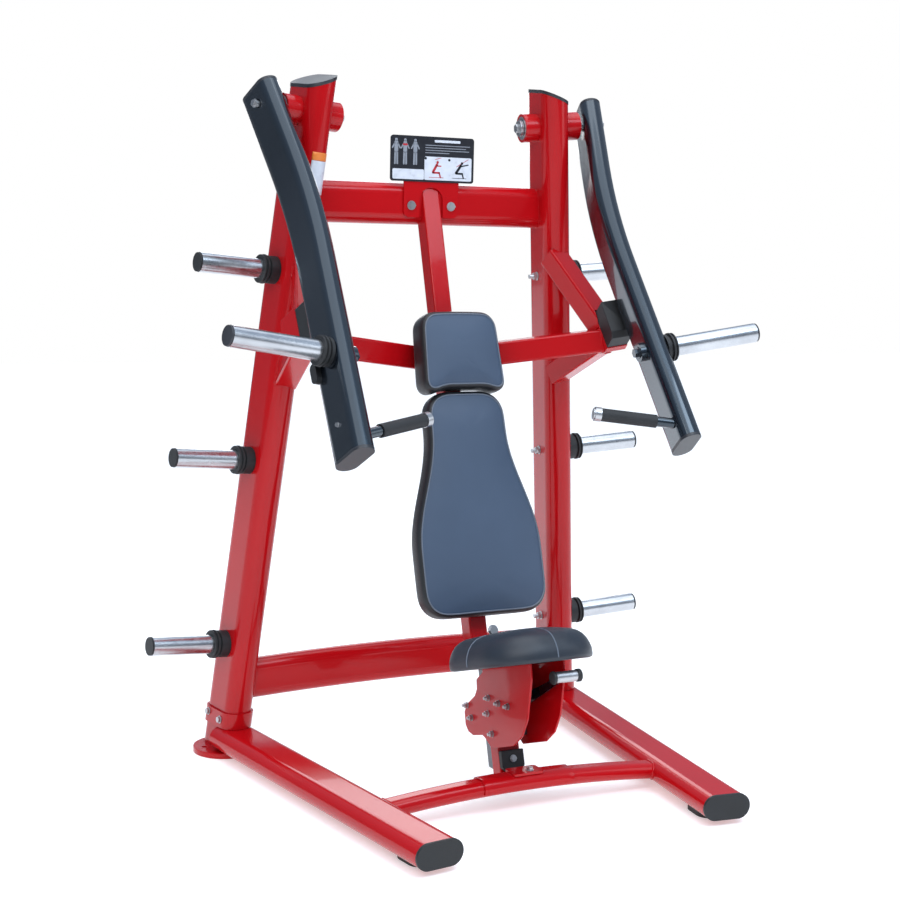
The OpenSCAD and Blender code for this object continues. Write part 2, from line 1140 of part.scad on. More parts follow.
module arm_cap() {
    linear_extrude(cap_t)
        rotate(90)
            oval(arm_w, arm_t);
    translate([0, 0, -20])
        linear_extrude(20)
            rotate(90)
                oval(arm_w - 2 * wall - 0.4, arm_t - 2 * wall - 0.4);
}

module arm_caps(left) {
    color(rubber_black)
        machine()
            side(left) {
                arm_upper_frame()
                    translate([0, 0, arm_over])
                        arm_cap();
                arm_lower_frame()
                    translate([0, 0, -arm_lower])
                        mirror([0, 0, 1])
                            arm_cap();
                arm_lower_frame()
                    translate([arm_t / 2 + gap, horn_y, -horn_s])
                        rotate([0, 90, 0])
                            translate([0, 0, load_collar + load_len])
                                horn_cap();
            }
}

horn_s = 254;
horn_y = -12;

module load_horn(left) {
    color(chrome)
        machine()
            side(left)
                arm_lower_frame()
                    translate([arm_t / 2 + gap, horn_y, -horn_s])
                        rotate([0, 90, 0])
                            horn(load_collar, load_len);
}

module load_collar_piece(left) {
    color(rubber_black)
        machine()
            side(left)
                arm_lower_frame()
                    translate([arm_t / 2 + gap, horn_y, -horn_s])
                        rotate([0, 90, 0])
                            ribbed_collar(load_collar);
}

module plate_rest(left) {
    color(rubber_black)
        machine()
            side(left)
                arm_lower_frame()
                    translate([arm_t / 2 + gap, 38, -horn_s - 33])
                        rotate([0, 90, 0])
                            linear_extrude(14)
                                oval(50, 24);
}

handle_tilt = 18.5;
handle_len = 203;

module handle_frame() {
    arm_lower_frame()
        translate([-arm_t / 2 + 2, -24, -469])
            rotate([0, -90 + handle_tilt, 0])
                children();
}

module handle(left) {
    color(steel_black)
        machine()
            side(left)
                difference() {
                    handle_frame()
                        cylinder(d = 26, h = handle_len - 0.4);
                    arm_tube(arm_w + 2 * gap, arm_t + 2 * gap, 0);
                }
}

module grip(left) {
    color(rubber_black)
        machine()
            side(left)
                handle_frame()
                    translate([0, 0, 44])
                        difference() {
                            cylinder(d = 33, h = handle_len - 44 - 16.4);
                            translate([0, 0, -1])
                                cylinder(d = 26.2, h = handle_len);
                        }
}

// Collar with a plug that closes the handle's open end, and the bolt at its root
module handle_end(left) {
    color(chrome)
        machine()
            side(left) {
                arm_lower_frame()
                    translate([arm_t / 2 + gap, 1.6, -438])
                        rotate([0, 90, 0])
                            hex_bolt(6, 4);
                handle_frame() {
                    translate([0, 0, handle_len - 16])
                        difference() {
                            cylinder(d = 36, h = 16);
                            translate([0, 0, -1])
                                cylinder(d = 26.2, h = 17);
                        }
                    translate([0, 0, handle_len - 0.2])
                        cylinder(d = 28, h = 4);
                }
            }
}

// Round boss on the arm's inner face with the bolt that holds the plate horn
module horn_boss(left) {
    color(steel_black)
        machine()
            side(left)
                arm_lower_frame()
                    translate([-arm_t / 2 - gap, horn_y, -horn_s])
                        rotate([0, -90, 0]) {
                            cylinder(d = 48, h = 15);
                            translate([0, 0, 15])
                                cylinder(d = 30, h = 2);
                            translate([0, 0, 17])
                                cylinder(d = 24, h = 10, $fn = 6);
                        }
}

leg(true);  // left_leg
leg(false);  // right_leg
leg_caps();
front_feet();
rear_feet();
upright(true);  // left_upright
upright(false);  // right_upright
upright_caps();
foot_sockets();
front_crossbeam();
rear_crossbeam();
upper_crossbeam();
back_post();
post_bracket();
placard_bracket();
placard();
stop_beams();
upper_struts();
lower_struts();
stop_elbows();
bumpers();
pivot_housings();
pivot_bearings();
storage_horns();
storage_collars();
storage_horn_caps();
frame_bolts();
head_pad();
back_pad();
pad_boards();
seat_post();
seat_rail();
seat_saddle();
seat_stop();
arm(true);  // left_arm
arm_caps(true);  // left_arm_caps
arm_shaft(true);  // left_arm_shaft
load_horn(true);  // left_load_horn
load_collar_piece(true);  // left_load_collar
plate_rest(true);  // left_plate_rest
handle(true);  // left_handle
grip(true);  // left_grip
handle_end(true);  // left_handle_end
horn_boss(true);  // left_horn_boss
arm(false);  // right_arm
arm_caps(false);  // right_arm_caps
arm_shaft(false);  // right_arm_shaft
load_horn(false);  // right_load_horn
load_collar_piece(false);  // right_load_collar
plate_rest(false);  // right_plate_rest
handle(false);  // right_handle
grip(false);  // right_grip
handle_end(false);  // right_handle_end
horn_boss(false);  // right_horn_boss
seat_pad();
seat_carriage();
seat_guides();
seat_bolts();
seat_lever();
seat_lever_grip();
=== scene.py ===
"""Looks of the plate-loaded chest press machine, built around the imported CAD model."""

import json
import math
import random

import bmesh
import bpy
from mathutils import Matrix, Vector
from mathutils.bvhtree import BVHTree


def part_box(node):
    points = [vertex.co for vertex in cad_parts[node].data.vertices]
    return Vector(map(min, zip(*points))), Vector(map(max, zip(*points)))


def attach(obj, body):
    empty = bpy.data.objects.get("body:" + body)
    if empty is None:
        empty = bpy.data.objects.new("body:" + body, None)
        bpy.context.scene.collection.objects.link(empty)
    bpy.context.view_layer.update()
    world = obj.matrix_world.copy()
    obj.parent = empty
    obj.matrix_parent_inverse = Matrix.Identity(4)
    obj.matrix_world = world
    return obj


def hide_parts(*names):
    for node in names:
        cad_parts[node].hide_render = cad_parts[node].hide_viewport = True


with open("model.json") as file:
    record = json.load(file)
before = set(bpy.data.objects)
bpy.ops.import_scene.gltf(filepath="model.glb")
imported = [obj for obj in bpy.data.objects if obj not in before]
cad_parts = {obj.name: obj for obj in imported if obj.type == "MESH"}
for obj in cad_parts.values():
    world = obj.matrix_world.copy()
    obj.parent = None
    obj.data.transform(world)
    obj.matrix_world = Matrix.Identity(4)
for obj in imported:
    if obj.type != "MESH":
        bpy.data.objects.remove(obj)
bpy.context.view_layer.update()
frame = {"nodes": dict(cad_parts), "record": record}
nodes = frame["nodes"]
record = frame["record"]
rng = random.Random(7)

FRAME = "frame"
MOUNTS = {m["name"]: m for m in record["mounts"]}
JOINTS = {j["name"]: j for j in record["behaviour"]["joints"]}


# ---------- materials ----------


def new_material(name):
    mat = bpy.data.materials.new(name)
    mat.use_nodes = True
    nt = mat.node_tree
    bsdf = nt.nodes["Principled BSDF"]
    return mat, nt, bsdf


def noise(nt, scale, detail=3.0, rough=0.5):
    coords = nt.nodes.new("ShaderNodeTexCoord")
    tex = nt.nodes.new("ShaderNodeTexNoise")
    tex.inputs["Scale"].default_value = scale
    tex.inputs["Detail"].default_value = detail
    tex.inputs["Roughness"].default_value = rough
    nt.links.new(coords.outputs["Object"], tex.inputs["Vector"])
    return tex


def ramp(nt, source, low, high, a, b):
    """A colour ramp from a to b between the positions low and high of source."""
    r = nt.nodes.new("ShaderNodeValToRGB")
    r.color_ramp.elements[0].position = low
    r.color_ramp.elements[1].position = high
    r.color_ramp.elements[0].color = (*a, 1)
    r.color_ramp.elements[1].color = (*b, 1)
    nt.links.new(source, r.inputs["Fac"])
    return r.outputs["Color"]


def rough_range(nt, bsdf, source, low, high):
    m = nt.nodes.new("ShaderNodeMapRange")
    m.inputs["To Min"].default_value = low
    m.inputs["To Max"].default_value = high
    nt.links.new(source, m.inputs["Value"])
    nt.links.new(m.outputs["Result"], bsdf.inputs["Roughness"])


def add_bump(nt, bsdf, height, strength, distance, chain=None):
    b = nt.nodes.new("ShaderNodeBump")
    b.inputs["Strength"].default_value = strength
    b.inputs["Distance"].default_value = distance
    nt.links.new(height, b.inputs["Height"])
    if chain is not None:
        nt.links.new(chain, b.inputs["Normal"])
    nt.links.new(b.outputs["Normal"], bsdf.inputs["Normal"])
    return b.outputs["Normal"]


def paint(name, base, dark, rough, coat):
    """Baked gloss powder coat: slight orange peel, tone drift and dulled patches."""
    mat, nt, bsdf = new_material(name)
    drift = noise(nt, 2.3, 3.0)
    nt.links.new(ramp(nt, drift.outputs["Fac"], 0.32, 0.68, dark, base), bsdf.inputs["Base Color"])
    smear = noise(nt, 14.0, 4.0, 0.6)
    rough_range(nt, bsdf, smear.outputs["Fac"], rough * 0.8, rough * 1.25)
    peel = noise(nt, 260.0, 1.5)
    first = add_bump(nt, bsdf, peel.outputs["Fac"], 0.08, 0.0006)
    soft = noise(nt, 38.0, 1.0)
    add_bump(nt, bsdf, soft.outputs["Fac"], 0.05, 0.002, first)
    bsdf.inputs["Coat Weight"].default_value = coat
    bsdf.inputs["Coat Roughness"].default_value = 0.05
    bsdf.inputs["Specular IOR Level"].default_value = 0.15
    return mat


def metal(name, base, dark, low, high, grain):
    """Plated or turned steel: fine grain in the finish, with duller smudges."""
    mat, nt, bsdf = new_material(name)
    bsdf.inputs["Metallic"].default_value = 1.0
    smudge = noise(nt, 9.0, 4.0, 0.6)
    nt.links.new(ramp(nt, smudge.outputs["Fac"], 0.3, 0.7, dark, base), bsdf.inputs["Base Color"])
    fine = noise(nt, grain, 2.0)
    mix = nt.nodes.new("ShaderNodeMath")
    mix.operation = "ADD"
    nt.links.new(smudge.outputs["Fac"], mix.inputs[0])
    nt.links.new(fine.outputs["Fac"], mix.inputs[1])
    half = nt.nodes.new("ShaderNodeMath")
    half.operation = "MULTIPLY"
    half.inputs[1].default_value = 0.5
    nt.links.new(mix.outputs[0], half.inputs[0])
    rough_range(nt, bsdf, half.outputs[0], low, high)
    add_bump(nt, bsdf, fine.outputs["Fac"], 0.04, 0.0004)
    return mat


def rubber(name, base, rough=0.55, speck=700.0, strength=0.25):
    mat, nt, bsdf = new_material(name)
    drift = noise(nt, 11.0, 4.0)
    light = tuple(min(1.0, c * 1.9 + 0.004) for c in base)
    nt.links.new(ramp(nt, drift.outputs["Fac"], 0.35, 0.75, base, light), bsdf.inputs["Base Color"])
    fine = noise(nt, speck, 2.0)
    add_bump(nt, bsdf, fine.outputs["Fac"], strength, 0.0006)
    rough_range(nt, bsdf, drift.outputs["Fac"], rough - 0.08, rough + 0.12)
    return mat


def vinyl(name, base, dark, rough, grain=420.0, sheen=0.12):
    """Upholstery vinyl: pebbled grain from cells, broad tone drift and a soft sheen."""
    mat, nt, bsdf = new_material(name)
    drift = noise(nt, 5.0, 4.0, 0.55)
    nt.links.new(ramp(nt, drift.outputs["Fac"], 0.28, 0.72, dark, base), bsdf.inputs["Base Color"])
    coords = nt.nodes.new("ShaderNodeTexCoord")
    cells = nt.nodes.new("ShaderNodeTexVoronoi")
    cells.feature = "DISTANCE_TO_EDGE"
    cells.inputs["Scale"].default_value = grain
    nt.links.new(coords.outputs["Object"], cells.inputs["Vector"])
    clamp = nt.nodes.new("ShaderNodeMapRange")
    clamp.inputs["From Max"].default_value = 0.16
    nt.links.new(cells.outputs["Distance"], clamp.inputs["Value"])
    first = add_bump(nt, bsdf, clamp.outputs["Result"], 0.22, 0.0005)
    dents = noise(nt, 26.0, 3.0)
    add_bump(nt, bsdf, dents.outputs["Fac"], 0.12, 0.003, first)
    rough_range(nt, bsdf, drift.outputs["Fac"], rough - 0.05, rough + 0.08)
    bsdf.inputs["Sheen Weight"].default_value = sheen
    bsdf.inputs["Sheen Roughness"].default_value = 0.45
    return mat


def print_ink(name, base, rough=0.35):
    mat, nt, bsdf = new_material(name)
    tone = noise(nt, 60.0, 2.0)
    dark = tuple(c * 0.88 for c in base)
    nt.links.new(ramp(nt, tone.outputs["Fac"], 0.3, 0.7, dark, base), bsdf.inputs["Base Color"])
    rough_range(nt, bsdf, tone.outputs["Fac"], rough - 0.05, rough + 0.08)
    return mat


MAT = {
    "frame_red": paint("gloss_red_powder_coat", (0.47, 0.0030, 0.006), (0.40, 0.0022, 0.0045), 0.20, 0.32),
    # the bluish tinge in the arms' black base colour is a painted blue sky reflection over the coat's own
    # black
    "arm_black": paint(
        "gloss_black_powder_coat", (0.0036, 0.0050, 0.0080), (0.0024, 0.0034, 0.0055), 0.24, 0.9
    ),
    "horn_chrome": metal("turned_chrome", (0.60, 0.61, 0.63), (0.44, 0.45, 0.47), 0.20, 0.34, 900.0),
    "plated_steel": metal("zinc_plate", (0.55, 0.55, 0.56), (0.36, 0.36, 0.37), 0.22, 0.42, 500.0),
    "rubber": rubber("moulded_rubber", (0.006, 0.0065, 0.0075)),
    "cap_plastic": rubber("moulded_cap_plastic", (0.013, 0.014, 0.018), 0.36, 420.0, 0.12),
    "board": rubber("pad_board", (0.008, 0.008, 0.009), 0.6, 200.0, 0.2),
    # the pad vinyl's blue-grey is partly its own colour and partly a painted blue sky reflection
    "pad_cover": vinyl("charcoal_vinyl", (0.045, 0.073, 0.124), (0.037, 0.061, 0.105), 0.50, sheen=0.05),
    "seat_cover": vinyl("dark_charcoal_vinyl", (0.013, 0.020, 0.032), (0.009, 0.014, 0.023), 0.40, sheen=0.04),
    "pad_side": vinyl("black_vinyl", (0.0075, 0.0085, 0.0105), (0.0045, 0.005, 0.0065), 0.40, sheen=0.03),
    "piping": vinyl("piping_vinyl", (0.13, 0.155, 0.20), (0.095, 0.115, 0.15), 0.38, 800.0, 0.05),
    "placard": print_ink("placard_white", (0.66, 0.69, 0.76), 0.28),
    "ink_black": print_ink("placard_black", (0.010, 0.011, 0.016), 0.3),
    "ink_grey": print_ink("placard_grey", (0.26, 0.28, 0.32), 0.35),
    "ink_red": print_ink("placard_red", (0.45, 0.02, 0.03), 0.35),
    "ink_orange": print_ink("label_orange", (0.80, 0.22, 0.03), 0.35),
    "foam": rubber("handle_foam", (0.008, 0.0085, 0.010), 0.62, 1500.0, 0.5),
}

SLOTS = {s["node"]: s["material_slot"] for s in record["subparts"]}
for name, obj in nodes.items():
    mat = MAT.get(SLOTS.get(name, ""), MAT["rubber"])
    if name.endswith("_grip") and name != "seat_lever_grip":
        mat = MAT["foam"]
    if name == "placard":
        mat = MAT["ink_black"]
    obj.data.materials.clear()
    obj.data.materials.append(mat)


# the arms' black coat reflects the room with a painted blue cast: a blue specular tint stands in for the sky's
# reflection
arm_shader = MAT["arm_black"].node_tree.nodes["Principled BSDF"]
arm_shader.inputs["Specular IOR Level"].default_value = 0.55
arm_shader.inputs["Specular Tint"].default_value = (0.50, 0.76, 1.0, 1)


# ---------- mesh helpers ----------


def mesh_piece(name, verts, faces, mats, body, smooth=True):
    me = bpy.data.meshes.new(name)
    me.from_pydata([tuple(v) for v in verts], [], faces)
    me.validate()
    me.update()
    ob = bpy.data.objects.new(name, me)
    bpy.context.scene.collection.objects.link(ob)
    for m in mats if isinstance(mats, (list, tuple)) else [mats]:
        me.materials.append(m)
    if smooth:
        me.polygons.foreach_set("use_smooth", [True] * len(me.polygons))
    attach(ob, body)
    return ob


def surface_tree(mesh):
    """A search tree over a mesh's faces."""
    bm = bmesh.new()
    bm.from_mesh(mesh)
    tree = BVHTree.FromBMesh(bm)
    bm.free()
    return tree


def face_outwards(mesh, merge=None):
    """Turns every face outwards, after joining points that lie closer than merge."""
    bm = bmesh.new()
    bm.from_mesh(mesh)
    if merge is not None:
        bmesh.ops.remove_doubles(bm, verts=bm.verts, dist=merge)
    bmesh.ops.recalc_face_normals(bm, faces=bm.faces)
    bm.to_mesh(mesh)
    bm.free()


def tube(points, radius, closed=False, sides=8, jitter=0.0):
    """Vertices and faces of a round tube along the points; jitter ripples its radius."""
    n = len(points)
    pts = [Vector(p) for p in points]
    tangents = []
    for i in range(n):
        a = pts[(i - 1) % n] if closed or i > 0 else pts[i]
        b = pts[(i + 1) % n] if closed or i < n - 1 else pts[i]
        tangents.append((b - a).normalized())
    ref = Vector((0, 0, 1)) if abs(tangents[0].z) < 0.9 else Vector((1, 0, 0))
    u = tangents[0].cross(ref).normalized()
    verts, faces = [], []
    for i in range(n):
        t = tangents[i]
        u = (u - t * u.dot(t)).normalized()
        w = t.cross(u)
        r = radius * (1 + jitter * (rng.random() - 0.5))
        for k in range(sides):
            q = 2 * math.pi * k / sides
            verts.append(pts[i] + (u * math.cos(q) + w * math.sin(q)) * r)
    rings = n if closed else n - 1
    if closed:
        # the last ring is matched to the first by its nearest turn
        last = verts[(n - 1) * sides : n * sides]
        shift = min(
            range(sides),
            key=lambda s: sum((last[k] - verts[(k + s) % sides]).length for k in range(sides)),
        )
    for i in range(rings):
        j = (i + 1) % n
        s = shift if closed and i == n - 1 else 0
        this, other = i * sides, j * sides
        for k in range(sides):
            k2 = (k + 1) % sides
            faces.append((this + k, this + k2, other + (k2 + s) % sides, other + (k + s) % sides))
    if not closed:
        faces.append(tuple(reversed(range(sides))))
        faces.append(tuple((n - 1) * sides + k for k in range(sides)))
    return verts, faces


def resample(points, count, closed=True):
    """count points at equal steps along the path."""
    pts = [Vector(p) for p in points]
    if closed:
        pts = pts + [pts[0]]
    lengths = [0.0]
    for a, b in zip(pts[:-1], pts[1:]):
        lengths.append(lengths[-1] + (b - a).length)
    total = lengths[-1]
    out, j = [], 0
    steps = count if closed else count - 1
    for i in range(count):
        d = total * i / steps
        while j < len(lengths) - 2 and lengths[j + 1] < d:
            j += 1
        span = lengths[j + 1] - lengths[j]
        t = (d - lengths[j]) / span if span > 1e-12 else 0.0
        out.append(pts[j].lerp(pts[j + 1], min(max(t, 0.0), 1.0)))
    return out


def smooth_loop(points, times):
    """A closed loop with each point drawn towards its neighbours, so many times."""
    pts = [Vector(p) for p in points]
    n = len(pts)
    for _ in range(times):
        pts = [pts[i] * 0.5 + (pts[i - 1] + pts[(i + 1) % n]) * 0.25 for i in range(n)]
    return pts


# ---------- softened edges on the CAD metal ----------


MERGE = 2e-5


def soften(name, width):
    """Rounds the sharp edges of a CAD node."""
    ob = nodes[name]
    weld = ob.modifiers.new("weld", "WELD")
    weld.merge_threshold = MERGE
    bev = ob.modifiers.new("edge", "BEVEL")
    bev.width = width
    bev.segments = 2
    bev.limit_method = "ANGLE"
    bev.angle_limit = math.radians(35)
    bev.use_clamp_overlap = True
    bev.miter_outer = "MITER_ARC"


# ---------- weld beads ----------

BEAD_REACH = 0.0006
BEAD_RADIUS = 0.0035
BEAD_STEP = 0.0035
BEAD_RIPPLE = 0.22
EDGE_ANGLE = math.radians(25)
OUTER_SHARE = 0.93


def near_loops(a, b):
    """Closed chains of sharp edges of node a that run close along node b's surface."""
    tree = surface_tree(nodes[b].data)
    bm = bmesh.new()
    bm.from_mesh(nodes[a].data)
    bmesh.ops.remove_doubles(bm, verts=bm.verts, dist=MERGE)
    close = set()
    for v in bm.verts:
        hit = tree.find_nearest(v.co)
        if hit[0] is not None and hit[3] < BEAD_REACH:
            close.add(v)
    links = {}
    for e in bm.edges:
        if e.verts[0] in close and e.verts[1] in close and len(e.link_faces) == 2:
            if e.calc_face_angle(0.0) > EDGE_ANGLE:
                links.setdefault(e.verts[0], []).append(e.verts[1])
                links.setdefault(e.verts[1], []).append(e.verts[0])
    loops, seen = [], set()
    for start in links:
        if start in seen:
            continue
        chain, prev, cur = [start], None, start
        seen.add(start)
        while True:
            nxt = []
            for v in links[cur]:
                closes = v is start and len(chain) > 3
                if v is not prev and (v not in seen or closes):
                    nxt.append(v)
            if not nxt:
                break
            prev, cur = cur, nxt[0]
            if cur is start:
                break
            seen.add(cur)
            chain.append(cur)
        if len(chain) > 8:
            loops.append([v.co.copy() for v in chain])
    bm.free()
    return loops


def perimeter(loop):
    return sum((a - b).length for a, b in zip(loop, loop[1:] + loop[:1]))


def weld_beads(name, a, b):
    """A rippled fillet bead round each outer loop where node a meets node b."""
    loops = near_loops(a, b)
    if not loops:
        print("no loop for", name)
        return
    longest = max(perimeter(loop) for loop in loops)
    verts, faces = [], []
    for loop in loops:
        if perimeter(loop) < longest * OUTER_SHARE:
            continue
        count = max(24, int(perimeter(loop) / BEAD_STEP))
        v, f = tube(resample(loop, count), BEAD_RADIUS, closed=True, jitter=BEAD_RIPPLE)
        off = len(verts)
        verts += v
        faces += [tuple(k + off for k in q) for q in f]
    mesh_piece(name, verts, faces, MAT["frame_red"], FRAME)


# ---------- cushions ----------

UP = Vector(JOINTS["seat_slide"]["axis"]).normalized()
OUT = Vector((0, -UP.z, UP.y)).normalized()
SIDE = Vector((1, 0, 0))

CROWN = 0.006
CROWN_RINGS = 12
CLEARANCE = 0.001
SWELL_CAP = 0.006
CLOTH_FRAMES = 14
EVENING_PASSES = 40


def outline_of(node, along, across):
    """The outline of an extruded node in the plane (x, along) and its span along the normal."""
    me = nodes[node].data
    pts = [v.co for v in me.vertices]
    lo = min(p.dot(across) for p in pts)
    hi = max(p.dot(across) for p in pts)
    flat = {}
    for p in pts:
        if p.dot(across) > hi - 1e-4:
            flat[(round(p.x, 5), round(p.dot(along), 5))] = True
    ring = [Vector((x, y)) for x, y in flat]
    cx = sum(p.x for p in ring) / len(ring)
    ys = [p.y for p in ring]
    cy = (min(ys) + max(ys)) / 2
    ring.sort(key=lambda p: math.atan2(p.y - cy, p.x - cx))
    return ring, lo, hi


def inset_loop(loop, d):
    """The loop moved inwards by d."""
    n = len(loop)
    out = []
    for i in range(n):
        t = (loop[(i + 1) % n] - loop[i - 1]).normalized()
        out.append(loop[i] + Vector((-t.y, t.x)) * d)
    return smooth_loop(out, 2) if d > 0.004 else out


def cushion(
    node, name, along, across, profile, spine_margin, seam_at, count, top_in="pad_cover", body=FRAME
):
    """A closed upholstered form in the space of a CAD pad, and the path of its seam.

    profile is a list of (inset, height from the back as a fraction of the thickness) from the back
    edge to the face; the face itself is crowned over a spine line."""
    ring, lo, hi = outline_of(node, along, across)
    loop = smooth_loop(resample([Vector((p.x, p.y)) for p in ring], count), 3)
    thick = hi - lo
    ys = [p.y for p in loop]
    y0, y1 = min(ys), max(ys)
    layers = []
    for inset, frac in profile:
        layers.append((inset_loop(loop, inset + CLEARANCE), lo + thick * frac))
    edge, edge_h = layers[-1]
    spine = [Vector((0.0, min(max(p.y, y0 + spine_margin), y1 - spine_margin))) for p in edge]
    for k in range(1, CROWN_RINGS + 1):
        s = k / CROWN_RINGS
        h = edge_h + CROWN * (1 - (1 - s) ** 2.6)
        layers.append(([p.lerp(q, s) for p, q in zip(edge, spine)], h))
    verts, faces, face_mat = [], [], []
    for pts, h in layers:
        verts += [Vector((p.x, 0, 0)) + along * p.y + across * h for p in pts]
    for r in range(len(layers) - 1):
        for i in range(count):
            j = (i + 1) % count
            faces.append((r * count + i, r * count + j, (r + 1) * count + j, (r + 1) * count + i))
            face_mat.append(0 if r < seam_at else 1)
    faces.append(tuple(reversed(range(count))))
    face_mat.append(0)
    ob = mesh_piece(name, verts, faces, [MAT["pad_side"], MAT[top_in]], body)
    for p, m in zip(ob.data.polygons, face_mat):
        p.material_index = m
    face_outwards(ob.data, merge=1e-4)
    inflate(ob, lo + thick * 0.12, across)
    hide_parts(node)
    seam = layers[seam_at]
    welt = [Vector((p.x, 0, 0)) + along * p.y + across * seam[1] for p in seam[0]]
    return ob, welt


def inflate(ob, fixed_below, across):
    """Lets the cover swell under pressure over its foam, with its back edge held to the board."""
    start = [v.co.copy() for v in ob.data.vertices]
    group = ob.vertex_groups.new(name="held")
    for v in ob.data.vertices:
        depth = v.co.dot(across) - fixed_below
        group.add([v.index], 1.0 if depth < 0 else max(0.0, 0.35 - depth * 20), "REPLACE")
    cloth = ob.modifiers.new("cloth", "CLOTH")
    st = cloth.settings
    st.quality = 5
    st.mass = 0.3
    st.tension_stiffness = 25
    st.compression_stiffness = 25
    st.bending_stiffness = 8
    st.use_pressure = True
    st.uniform_pressure_force = 4.0
    st.vertex_group_mass = "held"
    st.effector_weights.gravity = 0.0
    cloth.collision_settings.use_collision = False
    scene = bpy.context.scene
    for f in range(1, CLOTH_FRAMES + 1):
        scene.frame_set(f)
    dep = bpy.context.evaluated_depsgraph_get()
    out = ob.evaluated_get(dep).to_mesh()
    moved = [v.co.copy() for v in out.vertices]
    ob.evaluated_get(dep).to_mesh_clear()
    ob.modifiers.remove(cloth)
    # the swelling along each vertex's normal, evened out as the foam under the cover does
    normals = [v.normal.copy() for v in ob.data.vertices]
    swell = []
    for a, b, n in zip(start, moved, normals):
        d = (b - a).dot(n)
        swell.append(min(max(d, -0.002), SWELL_CAP) if math.isfinite(d) else 0.0)
    near = [[] for _ in start]
    for e in ob.data.edges:
        i, j = e.vertices
        near[i].append(j)
        near[j].append(i)
    for _ in range(EVENING_PASSES):
        swell = [0.5 * w + 0.5 * sum(swell[j] for j in q) / len(q) for w, q in zip(swell, near)]
    for v, a, n, w in zip(ob.data.vertices, start, normals, swell):
        v.co = a + n * w
    scene.frame_set(1)
    ob.data.update()


# (inset, height as a fraction of the thickness) from the board to the face
FIRM = [
    (0.006, 0.0),
    (0.001, 0.06),
    (0.0, 0.2),
    (-0.0005, 0.45),
    (0.0, 0.68),
    (0.0015, 0.82),
    (0.005, 0.92),
    (0.0105, 0.975),
    (0.018, 1.0),
]
back_pad, back_welt = cushion("back_pad", "back_cushion", UP, OUT, FIRM, 0.10, 7, 200)
head_pad, head_welt = cushion("head_pad", "head_cushion", UP, OUT, FIRM, 0.085, 7, 160)

ROUNDED = [
    (0.010, 0.0),
    (0.002, 0.03),
    (0.0, 0.12),
    (0.0005, 0.30),
    (0.004, 0.46),
    (0.010, 0.62),
    (0.019, 0.77),
    (0.031, 0.88),
    (0.046, 0.955),
]
seat_pad, _ = cushion("seat_pad", "seat_cushion", OUT, UP, ROUNDED, 0.10, 2, 180, "seat_cover", "seat")
for p in seat_pad.data.polygons:
    p.material_index = 1


def snap_to(ob, points, lift):
    """The points moved onto a piece's surface and lifted off it."""
    tree = surface_tree(ob.data)
    out = []
    for p in points:
        hit = tree.find_nearest(p)
        out.append(hit[0] + hit[1] * lift)
    return out


def welt(name, pad, path, count):
    """Piping round a cushion's face, partly sunk in its cover."""
    points = smooth_loop(snap_to(pad, path, 0.0006), 1)
    v, f = tube(resample(points, count), 0.0019, closed=True)
    mesh_piece(name, v, f, MAT["piping"], FRAME)


welt("back_welt", back_pad, back_welt, 260)
welt("head_welt", head_pad, head_welt, 200)


def sewn_line(ob, origin, start, stop, turn, flat, name, body):
    """A sewn seam on a cushion: rays from origin sweep from angle start to stop."""
    tree = surface_tree(ob.data)
    path = []
    rays = 60
    for k in range(rays + 1):
        q = math.radians(start + (stop - start) * k / rays)
        hit = tree.ray_cast(origin, (flat * math.cos(q) + turn * math.sin(q)).normalized())
        if hit[0] is not None:
            path.append(hit[0] + hit[1] * 0.0002)
    if len(path) > 5:
        v, f = tube(resample(path, 90, closed=False), 0.0016)
        mesh_piece(name, v, f, MAT["piping"], body)


seat_out = [v.co.dot(OUT) for v in seat_pad.data.vertices]
seat_up = [v.co.dot(UP) for v in seat_pad.data.vertices]
seat_low = UP * (min(seat_up) + 0.003)
seat_mid = OUT * ((min(seat_out) + max(seat_out)) / 2) + seat_low
seat_side = OUT * (min(seat_out) + 0.117) + seat_low
sewn_line(seat_pad, seat_mid, 2, 178, UP, OUT, "seat_seam_middle", "seat")
sewn_line(seat_pad, seat_side, 2, 38, UP, SIDE, "seat_seam_right", "seat")
sewn_line(seat_pad, seat_side, 2, 38, UP, -SIDE, "seat_seam_left", "seat")


# ---------- release lever's grip ----------


